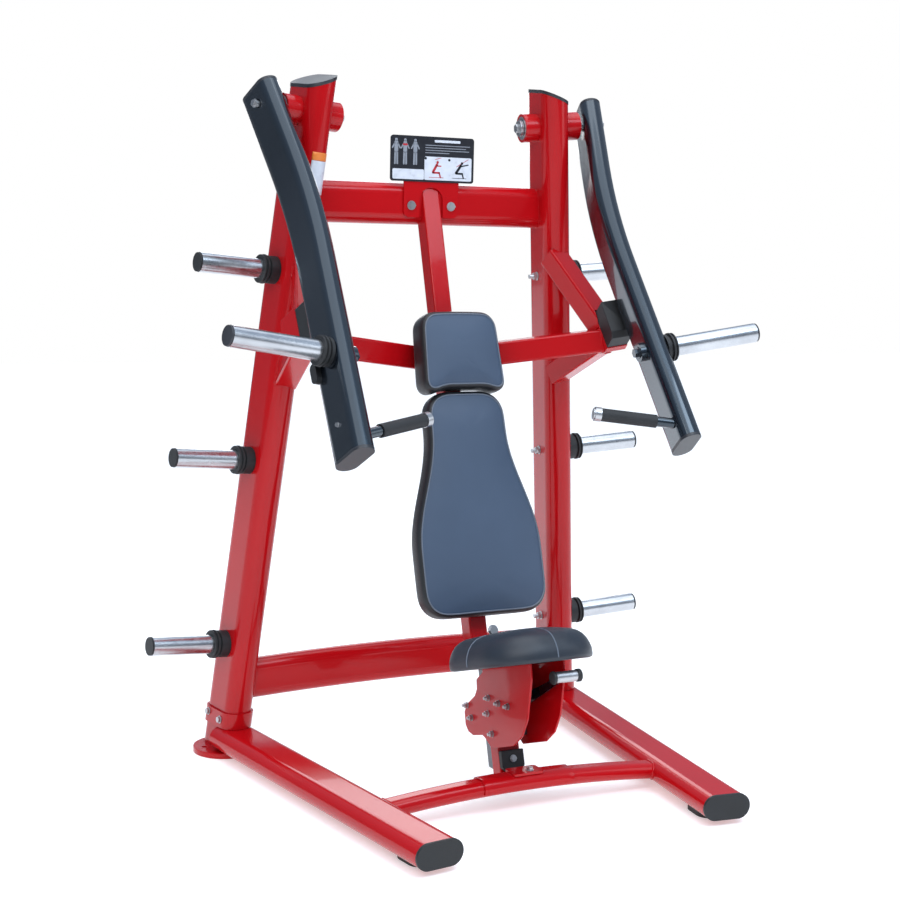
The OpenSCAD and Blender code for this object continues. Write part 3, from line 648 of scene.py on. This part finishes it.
def lever_grip():
    """Knurled metal sleeve between two moulded flanges, turned about its own axis."""
    lo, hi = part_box("seat_lever_grip")
    y, z = (lo[1] + hi[1]) / 2, (lo[2] + hi[2]) / 2
    r = (hi[1] - lo[1]) / 2
    length = hi[0] - lo[0]
    # (distance from the end, share of the radius)
    prof = [
        (0.0, 0.72),
        (0.0, 0.94),
        (0.0012, 1.0),
        (0.0058, 1.0),
        (0.0070, 0.94),
        (0.0071, 0.80),
        (0.0090, 0.86),
    ]
    ribs = 22
    start, stop = 0.0095, length - 0.0120
    for k in range(ribs + 1):
        x = start + (stop - start) * k / ribs
        prof.append((x, 0.875 if k % 2 else 0.845))
    tail = [(0.0110, 0.80), (0.0105, 0.94), (0.0092, 1.0), (0.0014, 1.0), (0.0, 0.93), (0.0, 0.72)]
    prof += [(length - a, b) for a, b in tail]
    sides = 48
    verts, faces, mats = [], [], []
    for k, (x, q) in enumerate(prof):
        knurled = 0.0085 < x < length - 0.0115
        for i in range(sides):
            a = 2 * math.pi * i / sides
            rr = r * q * (1.012 if knurled and (i + k) % 2 else 1.0)
            verts.append(Vector((lo[0] + x, y + rr * math.cos(a), z + rr * math.sin(a))))
    for k in range(len(prof) - 1):
        mid = (prof[k][0] + prof[k + 1][0]) / 2
        for i in range(sides):
            j = (i + 1) % sides
            faces.append((k * sides + i, k * sides + j, (k + 1) * sides + j, (k + 1) * sides + i))
            mats.append(1 if 0.0080 < mid < length - 0.0110 else 0)
    faces.append(tuple(reversed(range(sides))))
    faces.append(tuple((len(prof) - 1) * sides + i for i in range(sides)))
    mats += [0, 1]
    ob = mesh_piece("release_grip", verts, faces, [MAT["rubber"], MAT["plated_steel"]], "seat_release")
    for p, m in zip(ob.data.polygons, mats):
        p.material_index = m
    face_outwards(ob.data)
    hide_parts("seat_lever_grip")


lever_grip()

# ---------- placard print ----------


PRINT = 0.0003


def flat_shape(name, polys, y, mat):
    """Thin printed shapes in the XZ plane at y, as closed slabs."""
    verts, faces = [], []
    for poly in polys:
        n = len(poly)
        off = len(verts)
        verts += [Vector((x, y - PRINT, z)) for x, z in poly]
        verts += [Vector((x, y, z)) for x, z in poly]
        faces.append(tuple(off + k for k in range(n)))
        faces.append(tuple(off + n + k for k in reversed(range(n))))
        for k in range(n):
            k2 = (k + 1) % n
            faces.append((off + k2, off + k, off + n + k, off + n + k2))
    ob = mesh_piece(name, verts, faces, MAT[mat], FRAME, smooth=False)
    face_outwards(ob.data)


def round_rect(x0, z0, x1, z1, r, n=7):
    pts = []
    corners = ((x1 - r, z1 - r, 0), (x0 + r, z1 - r, 90), (x0 + r, z0 + r, 180), (x1 - r, z0 + r, 270))
    for cx, cz, a in corners:
        for k in range(n):
            q = math.radians(a + 90 * k / (n - 1))
            pts.append((cx + r * math.cos(q), cz + r * math.sin(q)))
    return pts


def limb(ax, az, bx, bz, w, n=6):
    """A capsule from a to b of width w."""
    q0 = math.atan2(bz - az, bx - ax)
    pts = []
    for k in range(n):
        q = q0 + math.pi / 2 + math.pi * k / (n - 1)
        pts.append((ax + w / 2 * math.cos(q), az + w / 2 * math.sin(q)))
    for k in range(n):
        q = q0 - math.pi / 2 + math.pi * k / (n - 1)
        pts.append((bx + w / 2 * math.cos(q), bz + w / 2 * math.sin(q)))
    return pts


def disc(x, z, r, n=16):
    return [(x + r * math.cos(2 * math.pi * k / n), z + r * math.sin(2 * math.pi * k / n)) for k in range(n)]


plo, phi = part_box("placard")
px0, px1, pz0, pz1, py = plo[0], phi[0], plo[2], phi[2], plo[1]
pw, ph = px1 - px0, pz1 - pz0


def on(u, v):
    """The point at shares u and v of the placard's width and height."""
    return px0 + u * pw, pz0 + v * ph


# dark card with a white band at the foot's left and a white block at the lower right
flat_shape("placard_band", [round_rect(*on(0.024, 0.045), *on(0.398, 0.27), 0.004)], py, "placard")
flat_shape("placard_card", [round_rect(*on(0.402, 0.045), *on(0.972, 0.56), 0.004)], py, "placard")
lines = []
for k, (u0, u1) in enumerate([(0.41, 0.95), (0.41, 0.90), (0.41, 0.94), (0.41, 0.70)]):
    v = 0.80 - 0.055 * k
    lines.append(round_rect(*on(u0, v), *on(u1, v + 0.016), 0.0008))
flat_shape("placard_rules", lines, py, "ink_grey")
flat_shape("placard_title_bar", [round_rect(*on(0.52, 0.875), *on(0.83, 0.93), 0.002)], py, "placard")

figure = []
for cu in (0.065, 0.17, 0.29):
    figure.append(disc(*on(cu, 0.90), 0.0038))
    figure.append(limb(*on(cu, 0.84), *on(cu, 0.66), 0.011))
    for side in (-1, 1):
        figure.append(limb(*on(cu + side * 0.02, 0.82), *on(cu + side * 0.045, 0.72), 0.0035))
    for side in (-1, 1):
        figure.append(limb(*on(cu + side * 0.012, 0.62), *on(cu + side * 0.014, 0.38), 0.0048))
flat_shape("placard_bodies", figure, py, "ink_grey")
flat_shape(
    "placard_chest_marks",
    [limb(*on(0.152, 0.80), *on(0.188, 0.80), 0.0052)],
    py - PRINT,
    "ink_red",
)


def seated(cu, lean):
    """A small plain figure of a user on the seat."""
    parts = [disc(*on(cu + 0.02 + lean * 0.3, 0.44), 0.0036)]
    parts.append(limb(*on(cu + 0.012 + lean * 0.2, 0.39), *on(cu - 0.035, 0.22), 0.0068))
    parts.append(limb(*on(cu - 0.035, 0.21), *on(cu + 0.04, 0.21), 0.0048))
    parts.append(limb(*on(cu + 0.04, 0.21), *on(cu + 0.055, 0.11), 0.0038))
    parts.append(limb(*on(cu, 0.36), *on(cu + 0.06 + lean, 0.36 + lean), 0.0032))
    parts.append(limb(*on(cu - 0.08, 0.105), *on(cu + 0.09, 0.105), 0.0012))
    return parts


flat_shape("placard_user_start", seated(0.54, 0.0), py - PRINT, "ink_red")
flat_shape("placard_user_end", seated(0.82, 0.05), py - PRINT, "ink_black")
flat_shape(
    "placard_arm_paths",
    [limb(*on(0.79, 0.36), *on(0.93, 0.53), 0.0014), limb(*on(0.53, 0.50), *on(0.60, 0.54), 0.0014)],
    py - PRINT,
    "ink_red",
)
flat_shape(
    "placard_step_dots",
    [disc(*on(0.415, 0.52), 0.0035), disc(*on(0.70, 0.50), 0.0035)],
    py - PRINT,
    "ink_black",
)

# ---------- uprights' own directions, from the storage horns ----------


def upright_axes(side):
    """The lowest horn's place, and an upright's directions upwards, outwards and to the rear."""
    low = Vector(MOUNTS[side + "_storage_horn_low"]["pos_m"])
    high = Vector(MOUNTS[side + "_storage_horn_high"]["pos_m"])
    up = (high - low).normalized()
    out = Vector(MOUNTS[side + "_storage_horn_low"]["axis"]).normalized()
    rear = out.cross(up) if side == "left" else up.cross(out)
    if rear.y < 0:
        rear = -rear
    return low, up, out, rear.normalized()


def nose_label(side, height_z, length, arc, tilt):
    """A blank sticker wrapped on the rounded front of an upright."""
    low, up, out, rear = upright_axes(side)
    tree = surface_tree(nodes[side + "_upright"].data)
    # the tube's middle is found by rays fired inwards from both sides
    s = (height_z - low.z) / up.z
    probe = low + up * s
    inner = probe - out * 0.6
    hit_a = tree.ray_cast(probe, -out)
    hit_b = tree.ray_cast(inner, out)
    mid = (hit_a[0] + hit_b[0]) / 2
    half_t = (hit_a[0] - hit_b[0]).length / 2
    front = tree.ray_cast(mid - rear * 0.5, rear)[0]
    centre = front + rear * half_t
    rows, cols = 5, 15
    layers = [
        ("paper", -0.5, 0.5, 0.0005, "placard"),
        ("band", 0.30, 0.5, 0.0008, "ink_orange"),
    ]
    for key, v0, v1, lift, mat in layers:
        verts, faces = [], []
        for i in range(rows):
            for j in range(cols):
                q = tilt + arc * (j / (cols - 1) - 0.5)
                d = (-rear * math.cos(q) + out * math.sin(q)).normalized()
                o = centre + up * (length * (v0 + (v1 - v0) * i / (rows - 1)))
                hit = tree.ray_cast(o + d * 0.2, -d)
                p = hit[0] if hit[0] is not None else o + d * half_t
                verts.append(p + d * lift)
        for i in range(rows - 1):
            for j in range(cols - 1):
                a = i * cols + j
                faces.append((a, a + 1, a + cols + 1, a + cols))
        ob = mesh_piece("upright_label_" + key, verts, faces, MAT[mat], FRAME)
        sol = ob.modifiers.new("thick", "SOLIDIFY")
        sol.thickness = 0.0002
        sol.offset = 0


nose_label("left", height_z=1.548, length=0.105, arc=1.75, tilt=-0.45)

# ---------- welds between the red tubes ----------

WELDS = [
    ("weld_upper_left", "upper_crossbeam", "left_upright"),
    ("weld_upper_right", "upper_crossbeam", "right_upright"),
    ("weld_rear_left", "rear_crossbeam", "left_upright"),
    ("weld_rear_right", "rear_crossbeam", "right_upright"),
    ("weld_front_left", "front_crossbeam", "left_leg"),
    ("weld_front_right", "front_crossbeam", "right_leg"),
    ("weld_leg_left", "left_leg", "left_upright"),
    ("weld_leg_right", "right_leg", "right_upright"),
    ("weld_stop_beams", "stop_beams", "stop_elbows"),
    ("weld_struts_up_elbow", "upper_struts", "stop_elbows"),
    ("weld_struts_low_elbow", "lower_struts", "stop_elbows"),
    ("weld_struts_up_left", "upper_struts", "left_upright"),
    ("weld_struts_up_right", "upper_struts", "right_upright"),
    ("weld_struts_low_left", "lower_struts", "left_upright"),
    ("weld_struts_low_right", "lower_struts", "right_upright"),
]
for name, a, b in WELDS:
    weld_beads(name, a, b)

EDGES = [
    (0.0012, ("placard_bracket", "stop_elbows", "post_bracket", "seat_carriage", "seat_saddle", "rear_feet")),
    (0.0022, ("bumpers", "seat_stop", "front_feet", "leg_caps", "left_arm_caps", "right_arm_caps")),
    (0.0006, ("upright_caps", "placard", "seat_guides", "frame_bolts", "seat_bolts")),
]
for width, names in EDGES:
    for name in names:
        soften(name, width)

# ---------- floor, light and camera ----------


def make_stage():
    """A pale matt floor, just below the feet."""
    me = bpy.data.meshes.new("floor")
    half, drop = 14.0, -0.0004
    corners = [(-half, -half, drop), (half, -half, drop), (half, half, drop), (-half, half, drop)]
    me.from_pydata(corners, [], [(0, 1, 2, 3)])
    ob = bpy.data.objects.new("floor", me)
    bpy.context.scene.collection.objects.link(ob)
    mat, nt, bsdf = new_material("pale_floor")
    tone = noise(nt, 1.2, 2.0)
    greys = ramp(nt, tone.outputs["Fac"], 0.3, 0.7, (0.74, 0.74, 0.74), (0.78, 0.78, 0.78))
    nt.links.new(greys, bsdf.inputs["Base Color"])
    bsdf.inputs["Roughness"].default_value = 0.85
    bsdf.inputs["Emission Color"].default_value = (1.0, 1.0, 1.0, 1)
    bsdf.inputs["Emission Strength"].default_value = 0.44
    me.materials.append(mat)


def area_light(name, place, aim, size_x, size_y, power, colour):
    data = bpy.data.lights.new(name, "AREA")
    data.shape = "RECTANGLE"
    data.size = size_x
    data.size_y = size_y
    data.energy = power
    data.color = colour
    ob = bpy.data.objects.new(name, data)
    ob.location = place
    ob.rotation_euler = (Vector(aim) - Vector(place)).to_track_quat("-Z", "Y").to_euler()
    bpy.context.scene.collection.objects.link(ob)


def sun_light(name, power, angle, tilt_x, tilt_y):
    data = bpy.data.lights.new(name, "SUN")
    data.energy = power
    data.angle = math.radians(angle)
    ob = bpy.data.objects.new(name, data)
    ob.rotation_euler = (math.radians(tilt_x), math.radians(tilt_y), 0)
    bpy.context.scene.collection.objects.link(ob)


def make_world():
    """A white backdrop for the camera over a dim blue sky that lights the paint."""
    world = bpy.data.worlds.new("studio")
    bpy.context.scene.world = world
    world.use_nodes = True
    nt = world.node_tree
    bg = nt.nodes["Background"]
    coords = nt.nodes.new("ShaderNodeTexCoord")
    split = nt.nodes.new("ShaderNodeSeparateXYZ")
    nt.links.new(coords.outputs["Generated"], split.inputs["Vector"])
    r = nt.nodes.new("ShaderNodeValToRGB")
    r.color_ramp.elements[0].position = 0.42
    r.color_ramp.elements[0].color = (0.09, 0.095, 0.105, 1)
    r.color_ramp.elements[1].position = 0.90
    r.color_ramp.elements[1].color = (0.50, 0.62, 0.80, 1)
    m = nt.nodes.new("ShaderNodeMapRange")
    m.inputs["From Min"].default_value = -1.0
    m.inputs["From Max"].default_value = 1.0
    nt.links.new(split.outputs["Z"], m.inputs["Value"])
    nt.links.new(m.outputs["Result"], r.inputs["Fac"])
    path = nt.nodes.new("ShaderNodeLightPath")
    seen = nt.nodes.new("ShaderNodeMix")
    seen.data_type = "RGBA"
    # the colour sockets of a Mix node are found by their numbers, as its names repeat
    nt.links.new(path.outputs["Is Camera Ray"], seen.inputs[0])
    nt.links.new(r.outputs["Color"], seen.inputs[6])
    seen.inputs[7].default_value = (1.0, 1.0, 1.0, 1)
    nt.links.new(seen.outputs[2], bg.inputs["Color"])
    bg.inputs["Strength"].default_value = 1.0


make_stage()
make_world()
area_light("key", (-3.4, -3.2, 3.6), (0, 0, 0.9), 2.6, 2.0, 66, (1.0, 0.98, 0.95))
area_light("fill", (3.6, -2.6, 2.4), (0, 0, 0.9), 2.0, 2.4, 26, (0.88, 0.94, 1.0))
area_light("sky", (0.6, -3.4, 4.4), (0, 0, 0.9), 3.6, 1.6, 90, (0.72, 0.86, 1.0))
area_light("top", (0.2, 0.6, 4.6), (0, 0, 0.8), 3.4, 3.0, 44, (0.92, 0.96, 1.0))
sun_light("overhead", 1.25, 70, 12, -10)
area_light("back", (1.6, 4.2, 2.6), (0, 0, 1.0), 2.4, 1.8, 40, (1.0, 1.0, 1.0))

CAMERA_PLACE = (-1.93282, -3.58222, 1.35432)
YAW, PITCH, ROLL = math.radians(27.1137), math.radians(7.1167), math.radians(-1.2662)


def place_camera():
    data = bpy.data.cameras.new("camera")
    data.lens = 65.463
    data.sensor_width = 36.0
    data.clip_end = 60.0
    cam = bpy.data.objects.new("camera", data)
    bpy.context.scene.collection.objects.link(cam)
    level = math.cos(PITCH)
    forward = Vector((math.sin(YAW) * level, math.cos(YAW) * level, -math.sin(PITCH)))
    right = Vector((math.cos(YAW), -math.sin(YAW), 0))
    down = forward.cross(right)
    rolled_right = right * math.cos(ROLL) + down * math.sin(ROLL)
    rolled_down = -right * math.sin(ROLL) + down * math.cos(ROLL)
    basis = Matrix((rolled_right, -rolled_down, -forward)).transposed()
    cam.matrix_world = Matrix.Translation(CAMERA_PLACE) @ basis.to_4x4()
    bpy.context.scene.camera = cam


place_camera()
bpy.context.scene.view_settings.view_transform = "Standard"
